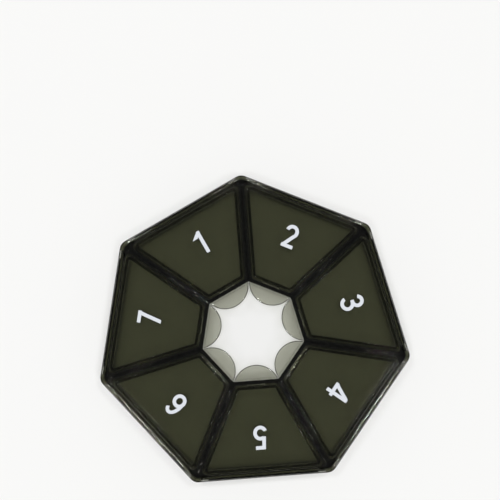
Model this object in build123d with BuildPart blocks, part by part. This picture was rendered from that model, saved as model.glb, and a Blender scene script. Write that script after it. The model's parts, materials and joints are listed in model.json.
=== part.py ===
from build123d import *
from math import cos, radians, tan
import os

# Weekly pill box: a seven-sided ring of pockets with a lid hinged on every outer side.
# Millimetres. +Z is up, the origin is on the ring's axis in the plane that the box stands on,
# and one corner of the ring points along +Y.

# Whole box
sides = 7
rim_apothem = 48.5  # axis to the middle of an outer side, over the ledge
hole_apothem = 15.8  # axis to the middle of a side of the centre hole, at its top
tray_height = 20.0  # standing plane to the top of the walls

# Tray
floor_thickness = 1.8
outer_wall = 1.2
inner_wall = 1.2
divider_wall = 1.7
draft_angle = 1.0  # lean of the moulded walls, in degrees
wall_corner_radius = 2.2
pocket_corner_radius = 1.5
pocket_floor_radius = 0.8
foot_radius = 0.8
hole_corner_radius = 0.6
hole_edge_radius = 0.3

# Ledge that runs round the tray under the hinges, with a fin at each corner
ledge_thickness = 4.0
ledge_corner_radius = 3.4
ledge_edge_radius = 0.3
fin_thickness = 0.6
fin_length = 3.0
fin_tip_inset = 0.7

# Hinges: pegs on the ends of a lid's barrel turn in two lugs of the tray
hinge_length = 42.0  # between the outer ends of a side's two lugs
lug_width = 2.5
lug_wall = 0.4  # round the bore that takes a peg
peg_diameter = 0.8
peg_length = 2.0
peg_clearance = 0.05  # running fit of a peg in its bore, on the radius
peg_end_chamfer = 0.15
barrel_inset = 0.3  # barrel behind the edge of the ledge
barrel_rise = 0.05  # barrel above the lid's plate
barrel_clearance = 0.2  # barrel and lugs to what they pass
wall_setback = 0.1  # tray wall behind the hinge axis
open_clearance = 0.1  # border of a lid laid open, above the ledge

# Lids
lid_plate = 0.8
lid_rest_gap = 0.05
seam_gap = 0.3  # between neighbouring lids
plate_corner_radius = 1.0
plate_edge_radius = 0.1
tab_reach = 5.2
tab_edge_radius = 0.35

# Rib under each lid and the border above it
rib_thickness = 0.9
rib_depth = 2.5
rib_clearance = 0.8
rib_hinge_clearance = 0.3
rib_corner_radius = 1.4
border_height = 0.5
rib_edge_radius = 0.1

# Catch that holds a lid shut: a bump on the rib passes under a ridge on the inner wall
catch_length = 6.0
catch_bump = 0.35
catch_ridge = 0.3
catch_play = 0.1

# Places worked out from the sizes above
half_angle = 180 / sides
slope = tan(radians(half_angle))  # half width of a sector for each millimetre from the axis
lean = cos(radians(half_angle))
corner_angle = 90
first_side_angle = corner_angle + half_angle
side_angles = [first_side_angle - step * 360 / sides for step in range(sides)]

bore_radius = peg_diameter / 2 + peg_clearance
barrel_radius = bore_radius + lug_wall
plate_bottom = tray_height + lid_rest_gap
plate_top = plate_bottom + lid_plate
lid_top = plate_top + border_height
hinge_apothem = rim_apothem - barrel_inset - barrel_radius
hinge_height = plate_top + barrel_rise - barrel_radius
ledge_top = hinge_height - (lid_top - hinge_height) - open_clearance

wall_apothem = hinge_apothem - wall_setback
pocket_outer = wall_apothem - outer_wall
pocket_inner = hole_apothem + inner_wall
pocket_depth = tray_height - floor_thickness
fin_tip = rim_apothem / lean - ledge_corner_radius * (1 / lean - 1) - fin_tip_inset

lug_outer = hinge_length / 2
lug_inner = lug_outer - lug_width
barrel_half = lug_inner - barrel_clearance
plate_apothem = hinge_apothem - barrel_radius - barrel_clearance

rib_outer = pocket_outer - rib_hinge_clearance
rib_inner = pocket_inner + rib_clearance
rib_side = divider_wall / 2 + rib_clearance
rib_bottom = plate_bottom - rib_depth

bump_height = rib_bottom + 2 * catch_bump
ridge_height = bump_height + catch_bump + catch_play + catch_ridge


def half_width(apothem, side_offset):
    """Half the width of a sector at a distance from the axis, kept clear of its two seams."""
    return apothem * slope - side_offset / lean


def sector(inner, outer, side_offset):
    """Corners of the sector that faces +X, from one distance from the axis to another."""
    near = half_width(inner, side_offset)
    far = half_width(outer, side_offset)
    return [(inner, -near), (outer, -far), (outer, far), (inner, near)]


# Two lugs that carry a lid's pegs, on the side that faces +X
with BuildPart() as lugs:
    with BuildSketch(Plane.XZ.offset(lug_inner)):
        with Locations((hinge_apothem, hinge_height)):
            Circle(barrel_radius)
            Rectangle(
                2 * barrel_radius,
                hinge_height - ledge_top + ledge_thickness / 2,
                align=(Align.CENTER, Align.MAX),
            )
    extrude(amount=lug_width)
    mirror(about=Plane.XZ)

# Tray: the ledge and the drafted ring, then the hole, the pockets and the hinge seats
with BuildPart() as tray:
    with BuildSketch(Plane.XY.offset(ledge_top)):
        RegularPolygon(rim_apothem, sides, major_radius=False, rotation=corner_angle, align=None)
        fillet(vertices(), ledge_corner_radius)
    extrude(amount=-ledge_thickness)
    fillet(faces().filter_by(Axis.Z).edges(), ledge_edge_radius)

    with BuildSketch(Plane.XY.offset(tray_height)):
        RegularPolygon(wall_apothem, sides, major_radius=False, rotation=corner_angle, align=None)
        fillet(vertices(), wall_corner_radius)
    extrude(amount=-tray_height, taper=draft_angle)
    fillet(faces().sort_by(Axis.Z)[0].edges(), foot_radius)

    with BuildSketch(Plane.XY.offset(ledge_top)):
        with PolarLocations(fin_tip, sides, start_angle=corner_angle):
            Rectangle(fin_length, fin_thickness, align=(Align.MAX, Align.CENTER))
    extrude(amount=tray_height - ledge_top)

    with BuildSketch(Plane.XY.offset(tray_height)):
        RegularPolygon(hole_apothem, sides, major_radius=False, rotation=corner_angle, align=None)
        fillet(vertices(), hole_corner_radius)
    extrude(amount=-tray_height, taper=draft_angle, mode=Mode.SUBTRACT)
    fillet(faces().sort_by(Axis.Z)[0].inner_wires()[0].edges(), hole_edge_radius)

    with BuildSketch(Plane.XY.offset(tray_height)):
        with PolarLocations(0, sides, start_angle=first_side_angle):
            Polygon(*sector(pocket_inner, pocket_outer, divider_wall / 2), align=None)
        fillet(vertices(), pocket_corner_radius)
    extrude(amount=-pocket_depth, taper=draft_angle, mode=Mode.SUBTRACT)
    pocket_floors = faces().filter_by(Axis.Z).group_by(Axis.Z)[1]
    fillet(pocket_floors.edges(), pocket_floor_radius)

    with PolarLocations(hinge_apothem, sides, start_angle=first_side_angle):
        with Locations((0, 0, hinge_height)):
            Cylinder(
                barrel_radius + barrel_clearance,
                2 * lug_inner,
                rotation=(90, 0, 0),
                mode=Mode.SUBTRACT,
            )
    with PolarLocations(0, sides, start_angle=first_side_angle):
        add(lugs.part)
    with PolarLocations(hinge_apothem, sides, start_angle=first_side_angle):
        with Locations((0, 0, hinge_height)):
            Cylinder(bore_radius, hinge_length, rotation=(90, 0, 0), mode=Mode.SUBTRACT)
    with PolarLocations(pocket_inner, sides, start_angle=first_side_angle):
        with Locations((0, 0, ridge_height)):
            Cylinder(catch_ridge, catch_length, rotation=(90, 0, 0))

# Thumb tab of one lid, on the side that faces +X
with BuildPart() as tab:
    with BuildSketch(Plane.XY.offset(plate_bottom)):
        tab_half = half_width(hole_apothem, seam_gap / 2)
        with BuildLine():
            ThreePointArc((hole_apothem, -tab_half), (hole_apothem - tab_reach, 0), (hole_apothem, tab_half))
            Line((hole_apothem, tab_half), (hole_apothem, -tab_half))
        make_face()
    extrude(amount=lid_plate)
    fillet(edges().filter_by(GeomType.CIRCLE), tab_edge_radius)

# Plate of that lid, its edges eased along the seams and the hinge
with BuildPart() as plate:
    with BuildSketch(Plane.XY.offset(plate_bottom)):
        Polygon(*sector(hole_apothem, plate_apothem, seam_gap / 2), align=None)
        fillet(vertices().group_by(Axis.X)[-1], plate_corner_radius)
    extrude(amount=lid_plate)
    fillet(faces().filter_by(Axis.Z).edges().sort_by(Axis.X)[-2:], plate_edge_radius)
    add(tab.part)

# Rib that drops into the pocket and stands above the plate as its border
with BuildPart() as rib:
    with BuildSketch(Plane.XY.offset(rib_bottom)):
        Polygon(*sector(rib_inner, rib_outer, rib_side), align=None)
        fillet(vertices(), rib_corner_radius)
        offset(amount=-rib_thickness, mode=Mode.SUBTRACT)
    extrude(amount=lid_top - rib_bottom)
    fillet(faces().filter_by(Axis.Z).edges(), rib_edge_radius)

# Lid on the side that faces +X: plate, hinge barrel with its pegs, rib and catch
with BuildPart() as lid:
    add(plate.part)
    with BuildSketch(Plane.XY.offset(plate_bottom)):
        with Locations((plate_apothem - plate_edge_radius, 0)):
            Rectangle(
                hinge_apothem - plate_apothem + plate_edge_radius,
                2 * barrel_half,
                align=(Align.MIN, Align.CENTER),
            )
    extrude(amount=lid_plate)
    with Locations((hinge_apothem, 0, hinge_height)):
        Cylinder(barrel_radius, 2 * barrel_half, rotation=(90, 0, 0))
        Cylinder(peg_diameter / 2, 2 * (barrel_half + peg_length), rotation=(90, 0, 0))
    peg_ends = faces().filter_by(Axis.Y).sort_by(Axis.Y)
    chamfer(peg_ends[0].edges() + peg_ends[-1].edges(), peg_end_chamfer)
    add(rib.part)
    with Locations((rib_inner, 0, bump_height)):
        Cylinder(catch_bump, catch_length, rotation=(90, 0, 0))

# Every piece in its place
os.makedirs("parts", exist_ok=True)
tray.part.label = "tray"
export_step(tray.part, "parts/tray.step")
for number, angle in enumerate(side_angles, start=1):
    placed = lid.part.rotate(Axis.Z, angle)
    placed.label = f"lid_{number}"
    export_step(placed, f"parts/{placed.label}.step")
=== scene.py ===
import json
import math

import bmesh
import bpy
from mathutils import Matrix, Vector
from mathutils.geometry import delaunay_2d_cdt


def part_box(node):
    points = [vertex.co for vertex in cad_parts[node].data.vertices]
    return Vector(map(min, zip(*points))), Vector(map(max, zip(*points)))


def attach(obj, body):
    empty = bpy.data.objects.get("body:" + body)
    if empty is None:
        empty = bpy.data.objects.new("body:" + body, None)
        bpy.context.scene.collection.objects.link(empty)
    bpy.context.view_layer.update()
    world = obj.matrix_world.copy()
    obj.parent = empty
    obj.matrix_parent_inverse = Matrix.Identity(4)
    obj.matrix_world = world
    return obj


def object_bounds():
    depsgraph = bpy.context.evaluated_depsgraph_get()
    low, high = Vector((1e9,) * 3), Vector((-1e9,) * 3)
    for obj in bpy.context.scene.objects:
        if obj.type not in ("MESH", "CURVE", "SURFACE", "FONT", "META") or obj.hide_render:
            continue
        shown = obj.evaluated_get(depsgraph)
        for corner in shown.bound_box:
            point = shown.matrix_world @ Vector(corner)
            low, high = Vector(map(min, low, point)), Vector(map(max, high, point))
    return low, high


# Weekly pill box of smoked clear plastic, seen from straight above on a pale table.
# Metres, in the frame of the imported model: +Z up, the ring's axis at the origin.

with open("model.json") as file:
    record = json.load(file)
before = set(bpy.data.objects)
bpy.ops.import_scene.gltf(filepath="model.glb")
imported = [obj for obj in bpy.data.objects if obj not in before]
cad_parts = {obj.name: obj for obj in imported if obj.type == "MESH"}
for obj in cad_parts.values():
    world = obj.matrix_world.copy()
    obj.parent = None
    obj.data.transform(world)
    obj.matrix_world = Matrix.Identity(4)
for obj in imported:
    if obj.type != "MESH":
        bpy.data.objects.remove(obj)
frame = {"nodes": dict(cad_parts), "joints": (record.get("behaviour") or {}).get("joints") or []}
cad_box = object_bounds()

MM = 0.001
lids = sorted(name for name in frame["nodes"] if name.startswith("lid_"))
hinge_of = {joint["child"]: Vector(joint["pos_m"]) for joint in frame["joints"]}

# Framing of the photograph, in pixels of its 500 x 500 frame
frame_pixels = 500
axis_pixel = (252.5, 333.4)  # where the ring's axis shows
rim_pixels = 144.5  # from there to the middle of an outer side
picture_turn = math.radians(4.35)  # the ring is turned anticlockwise in the picture

# Camera, over the ring's axis
camera_height = 0.75
camera_clip = 0.01
sensor_width = 36.0  # millimetres of film, not of the object

# Smoked plastic
plastic_ior = 1.5
smoke_colour = (0.32, 0.33, 0.18)  # of the dye, which absorbs what its colour lacks
smoke_density = 870.0  # of the dye, for each metre of plastic
haze_scale = 180.0  # features for each metre, as in every scale below
haze_detail = 6.0
haze_roughness = (0.004, 0.018)
hairline_scale = 120.0
hairline_stretch = (1.0, 24.0, 24.0)
hairline_crest = (0.66, 0.72)  # height of the noise where a hairline starts and where it is full
hairline_roughness = 0.03
wave_scale = 60.0
wave_height = 0.01 * MM
wave_strength = 0.4

# Printed numerals
numeral_height = 8.0 * MM
numeral_distance = 35.0 * MM  # from the ring's axis to the middle of a numeral
ink_thickness = 0.03 * MM
pen_share = 0.15  # width of a stroke, as a share of the numeral's height
arc_step = 6.0  # degrees between the points of a round stroke
join_tolerance = 1e-8
flat_angle = math.radians(1.0)  # faces that differ by less are merged
thin_ink = (0.55, 0.58, 0.62)
full_ink = (0.69, 0.72, 0.77)
grain_scale = 2500.0
grain_detail = 4.0
grain_height = 0.01 * MM
grain_strength = 0.5
ink_roughness = (0.35, 0.55)

# Studio
floor_gap = 0.1 * MM
floor_size = 3.0
floor_colour = (0.86, 0.86, 0.85)
floor_roughness = 0.7
room_glow = 0.7  # at the horizon
zenith_glow = 0.11  # overhead, and down to the glow's top
glow_top = 0.3  # height that the room's glow reaches, as a share of the way up
light_height = 4.0
light_offset = 0.76  # far enough out that the camera sees no light mirrored in a lid, shut or open
light_size = 0.36
light_powers = (17.0, 18.1, 15.5, 16.0)
first_light_angle = 45.0  # degrees from +X, the other lights following at equal steps
fill_power = 94.0  # of a light straight overhead that adds no gloss
clear_layers = 32  # of plastic that light may pass on its way to a surface


def new_material(name):
    """An empty node material and its output node."""
    material = bpy.data.materials.new(name)
    material.use_nodes = True
    tree = material.node_tree
    tree.nodes.clear()
    return material, tree, tree.nodes.new("ShaderNodeOutputMaterial")


def object_noise(tree, scale, detail=2.0, stretch=(1.0, 1.0, 1.0)):
    """Noise that stays with the object, at a number of features for each metre."""
    place = tree.nodes.new("ShaderNodeTexCoord")
    mapping = tree.nodes.new("ShaderNodeMapping")
    mapping.inputs["Scale"].default_value = stretch
    noise = tree.nodes.new("ShaderNodeTexNoise")
    noise.inputs["Scale"].default_value = scale
    noise.inputs["Detail"].default_value = detail
    tree.links.new(place.outputs["Object"], mapping.inputs["Vector"])
    tree.links.new(mapping.outputs["Vector"], noise.inputs["Vector"])
    return noise.outputs["Fac"]


def remap(tree, value, low, high, from_low=0.0, from_high=1.0):
    """A value spread from one range over another."""
    node = tree.nodes.new("ShaderNodeMapRange")
    node.inputs["From Min"].default_value = from_low
    node.inputs["From Max"].default_value = from_high
    node.inputs["To Min"].default_value = low
    node.inputs["To Max"].default_value = high
    tree.links.new(value, node.inputs["Value"])
    return node.outputs["Result"]


def bump(tree, value, distance, strength):
    """A surface normal that follows a value as its height."""
    node = tree.nodes.new("ShaderNodeBump")
    node.inputs["Distance"].default_value = distance
    node.inputs["Strength"].default_value = strength
    tree.links.new(value, node.inputs["Height"])
    return node.outputs["Normal"]


def smoked_plastic(name):
    """Clear plastic dyed grey-olive through its depth, with slight haze and a few hairline scratches."""
    material, tree, output = new_material(name)
    plastic = tree.nodes.new("ShaderNodeBsdfPrincipled")
    plastic.inputs["Base Color"].default_value = (1.0, 1.0, 1.0, 1.0)
    plastic.inputs["Transmission Weight"].default_value = 1.0
    plastic.inputs["IOR"].default_value = plastic_ior
    haze = remap(tree, object_noise(tree, haze_scale, haze_detail), *haze_roughness)
    lines = object_noise(tree, hairline_scale, stretch=hairline_stretch)
    hairlines = remap(tree, lines, 0.0, hairline_roughness, *hairline_crest)
    gloss = tree.nodes.new("ShaderNodeMath")
    gloss.operation = "ADD"
    tree.links.new(haze, gloss.inputs[0])
    tree.links.new(hairlines, gloss.inputs[1])
    tree.links.new(gloss.outputs["Value"], plastic.inputs["Roughness"])
    waves = bump(tree, object_noise(tree, wave_scale), wave_height, wave_strength)
    tree.links.new(waves, plastic.inputs["Normal"])

    daylight = tree.nodes.new("ShaderNodeBsdfTransparent")
    path = tree.nodes.new("ShaderNodeLightPath")
    mix = tree.nodes.new("ShaderNodeMixShader")
    tree.links.new(path.outputs["Is Shadow Ray"], mix.inputs["Fac"])
    tree.links.new(plastic.outputs["BSDF"], mix.inputs[1])
    tree.links.new(daylight.outputs["BSDF"], mix.inputs[2])
    tree.links.new(mix.outputs["Shader"], output.inputs["Surface"])

    dye = tree.nodes.new("ShaderNodeVolumeAbsorption")
    dye.inputs["Color"].default_value = (*smoke_colour, 1.0)
    dye.inputs["Density"].default_value = smoke_density
    tree.links.new(dye.outputs["Volume"], output.inputs["Volume"])
    return material


def printed_ink(name):
    """White screen-print ink, a little uneven where the screen left it thin."""
    material, tree, output = new_material(name)
    ink = tree.nodes.new("ShaderNodeBsdfPrincipled")
    cover = object_noise(tree, grain_scale, grain_detail)
    shade = tree.nodes.new("ShaderNodeMix")
    shade.data_type = "RGBA"
    shade.inputs["A"].default_value = (*thin_ink, 1.0)
    shade.inputs["B"].default_value = (*full_ink, 1.0)
    tree.links.new(cover, shade.inputs["Factor"])
    tree.links.new(shade.outputs["Result"], ink.inputs["Base Color"])
    tree.links.new(remap(tree, cover, *ink_roughness), ink.inputs["Roughness"])
    tree.links.new(bump(tree, cover, grain_height, grain_strength), ink.inputs["Normal"])
    tree.links.new(ink.outputs["BSDF"], output.inputs["Surface"])
    return material


def pale_floor(name):
    """Plain matt paint."""
    material, tree, output = new_material(name)
    paint = tree.nodes.new("ShaderNodeBsdfPrincipled")
    paint.inputs["Base Color"].default_value = (*floor_colour, 1.0)
    paint.inputs["Roughness"].default_value = floor_roughness
    tree.links.new(paint.outputs["BSDF"], output.inputs["Surface"])
    return material


def dress(node, material):
    """Gives a CAD node its finish in every slot."""
    slots = frame["nodes"][node].data.materials
    slots.clear()
    slots.append(material)


def bar(left, right, height):
    """A level stroke of a numeral."""
    half = pen_share / 2
    return [(left, height - half), (right, height - half), (right, height + half), (left, height + half)]


def stem(foot, head):
    """An upright or slanting stroke, cut level at both ends."""
    lean = math.hypot(head[0] - foot[0], head[1] - foot[1]) / (head[1] - foot[1])
    half = pen_share / 2 * lean
    return [
        (foot[0] - half, foot[1]),
        (foot[0] + half, foot[1]),
        (head[0] + half, head[1]),
        (head[0] - half, head[1]),
    ]


def oval(middle, across, along, angles):
    """Points at some angles round an oval."""
    return [(middle[0] + across * math.cos(a), middle[1] + along * math.sin(a)) for a in angles]


def bow(middle, across, along, start, end):
    """A round stroke on an oval, anticlockwise from one angle to another."""
    steps = round((end - start) / arc_step)
    angles = [math.radians(start + (end - start) * step / steps) for step in range(steps + 1)]
    half = pen_share / 2
    outer = oval(middle, across + half, along + half, angles)
    inner = oval(middle, across - half, along - half, angles)
    return outer + inner[::-1]


# Strokes of each numeral, in shares of its height, from its lower left corner
base_share = pen_share / 2
top_share = 1.0 - pen_share / 2
numeral_shares = {
    "1": [stem((0.36, 0.0), (0.36, 1.0)), stem((0.11, 0.72), (0.36, 0.93))],
    "2": [
        bow((0.28, 0.70), 0.21, top_share - 0.70, -36, 170),
        stem((0.09, 0.06), (0.46, 0.60)),
        bar(0.02, 0.53, base_share),
    ],
    "3": [
        bow((0.27, 0.73), 0.19, top_share - 0.73, -90, 165),
        bow((0.27, 0.295), 0.22, 0.295 - base_share, -165, 90),
        bar(0.17, 0.29, 0.525),
    ],
    "4": [stem((0.45, 0.0), (0.45, 1.0)), stem((0.07, 0.25), (0.43, 0.97)), bar(0.0, 0.62, 0.27)],
    "5": [
        bar(0.09, 0.50, top_share),
        stem((0.12, 0.46), (0.16, 1.0)),
        bow((0.27, 0.31), 0.22, 0.31 - base_share, -160, 130),
    ],
    "6": [
        bow((0.28, 0.30), 0.21, 0.30 - base_share, 0, 180),
        bow((0.28, 0.30), 0.21, 0.30 - base_share, 180, 360),
        bow((0.30, 0.50), 0.23, top_share - 0.50, 40, 205),
    ],
    "7": [bar(0.02, 0.53, top_share), stem((0.18, 0.0), (0.45, 0.96))],
}


def numeral_mesh(number):
    """A closed flat mesh of one numeral, its middle at the origin, its foot towards -Y."""
    points = []
    strokes = []
    for outline in numeral_shares[number]:
        strokes.append(range(len(points), len(points) + len(outline)))
        points.extend(Vector(point) * numeral_height for point in outline)
    joined = delaunay_2d_cdt(points, [], strokes, 1, join_tolerance)
    corners, triangles, inside = joined[0], joined[2], joined[5]
    lowest = Vector((min(corner.x for corner in corners), min(corner.y for corner in corners)))
    highest = Vector((max(corner.x for corner in corners), max(corner.y for corner in corners)))
    shift = (lowest + highest) / 2

    shape = bmesh.new()
    verts = [shape.verts.new((*(corner - shift), -ink_thickness / 2)) for corner in corners]
    inked = [
        shape.faces.new([verts[index] for index in triangle])
        for triangle, strokes_there in zip(triangles, inside)
        if strokes_there
    ]
    raised = bmesh.ops.extrude_face_region(shape, geom=inked)["geom"]
    tops = [item for item in raised if isinstance(item, bmesh.types.BMVert)]
    bmesh.ops.translate(shape, verts=tops, vec=(0.0, 0.0, ink_thickness))
    loose = [vert for vert in shape.verts if not vert.link_faces]
    bmesh.ops.delete(shape, geom=loose, context="VERTS")
    bmesh.ops.dissolve_limit(shape, angle_limit=flat_angle, verts=shape.verts, edges=shape.edges)
    bmesh.ops.recalc_face_normals(shape, faces=shape.faces)
    mesh = bpy.data.meshes.new(f"numeral_{number}")
    shape.to_mesh(mesh)
    shape.free()
    return mesh


def print_numeral(lid, ink):
    """Prints a lid's number on its panel, with the top of the numeral towards the hinge."""
    number = lid.rsplit("_", 1)[1]
    outward = hinge_of[lid].copy()
    outward.z = 0.0
    outward.normalize()
    middle = outward * numeral_distance
    over = Vector((middle.x, middle.y, 1.0))
    panel = frame["nodes"][lid].ray_cast(over, Vector((0.0, 0.0, -1.0)))[1]
    numeral = bpy.data.objects.new(f"numeral_{number}", numeral_mesh(number))
    numeral.data.materials.append(ink)
    bpy.context.scene.collection.objects.link(numeral)
    turn = math.atan2(outward.y, outward.x) - math.pi / 2
    place = Vector((middle.x, middle.y, panel.z + ink_thickness / 2))
    numeral.matrix_world = Matrix.Translation(place) @ Matrix.Rotation(turn, 4, "Z")
    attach(numeral, lid)


def make_floor():
    """A pale table top just under the box."""
    mesh = bpy.data.meshes.new("floor")
    half = floor_size / 2
    corners = [(-half, -half, 0.0), (half, -half, 0.0), (half, half, 0.0), (-half, half, 0.0)]
    mesh.from_pydata(corners, [], [(0, 1, 2, 3)])
    floor = bpy.data.objects.new("floor", mesh)
    floor.location.z = cad_box[0].z - floor_gap
    mesh.materials.append(pale_floor("floor_paint"))
    bpy.context.scene.collection.objects.link(floor)


def soft_light(name, place, target, power):
    """A round soft light that faces a point."""
    lamp = bpy.data.lights.new(name, "AREA")
    lamp.shape = "DISK"
    lamp.size = light_size
    lamp.energy = power
    light = bpy.data.objects.new(name, lamp)
    light.location = place
    light.rotation_euler = (target - place).to_track_quat("-Z", "Y").to_euler()
    light.visible_camera = False
    bpy.context.scene.collection.objects.link(light)
    return light


def make_studio():
    """A pale room, dimmer overhead, with soft lights round the camera and a fill light over the box."""
    world = bpy.data.worlds.new("studio")
    bpy.context.scene.world = world
    world.use_nodes = True
    tree = world.node_tree
    place = tree.nodes.new("ShaderNodeTexCoord")
    split = tree.nodes.new("ShaderNodeSeparateXYZ")
    tree.links.new(place.outputs["Generated"], split.inputs["Vector"])
    glow = remap(tree, split.outputs["Z"], room_glow, zenith_glow, from_high=glow_top)
    tree.nodes["Background"].inputs["Color"].default_value = (1.0, 1.0, 1.0, 1.0)
    tree.links.new(glow, tree.nodes["Background"].inputs["Strength"])
    middle = Vector((0.0, 0.0, cad_box[1].z))
    for step, power in enumerate(light_powers):
        turn = math.radians(first_light_angle + 360.0 / len(light_powers) * step)
        place = Vector((light_offset * math.cos(turn), light_offset * math.sin(turn), light_height))
        soft_light(f"soft_light_{step + 1}", place, middle, power)
    fill = soft_light("fill_light", Vector((0.0, 0.0, light_height)), middle, fill_power)
    fill.visible_glossy = False
    fill.visible_transmission = False


def make_camera():
    """Stands the camera over the ring's axis and aims it at the middle of the picture."""
    lid_plane = cad_box[1].z
    rim = -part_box("tray")[0].y
    pixel = rim / rim_pixels
    right = Vector((math.cos(picture_turn), -math.sin(picture_turn), 0.0))
    up = Vector((math.sin(picture_turn), math.cos(picture_turn), 0.0))
    across = (frame_pixels / 2 - axis_pixel[0]) * pixel
    along = (axis_pixel[1] - frame_pixels / 2) * pixel
    place = Vector((0.0, 0.0, camera_height))
    aim = right * across + up * along + Vector((0.0, 0.0, lid_plane))

    back = (place - aim).normalized()
    side = up.cross(back).normalized()
    top = back.cross(side)
    lens = bpy.data.cameras.new("camera")
    lens.sensor_width = sensor_width
    lens.lens = sensor_width * (camera_height - lid_plane) / (frame_pixels * pixel)
    lens.clip_start = camera_clip
    camera = bpy.data.objects.new("camera", lens)
    camera.matrix_world = Matrix.Translation(place) @ Matrix((side, top, back)).transposed().to_4x4()
    bpy.context.scene.collection.objects.link(camera)
    bpy.context.scene.camera = camera


dress("tray", smoked_plastic("smoked_tray"))
lid_plastic = smoked_plastic("smoked_lid")
white_ink = printed_ink("white_ink")
for lid in lids:
    dress(lid, lid_plastic)
    print_numeral(lid, white_ink)

make_floor()
make_studio()
make_camera()

look = bpy.context.scene
look.view_settings.view_transform = "Standard"
look.cycles.transparent_max_bounces = clear_layers
look.cycles.caustics_reflective = False
look.cycles.caustics_refractive = False
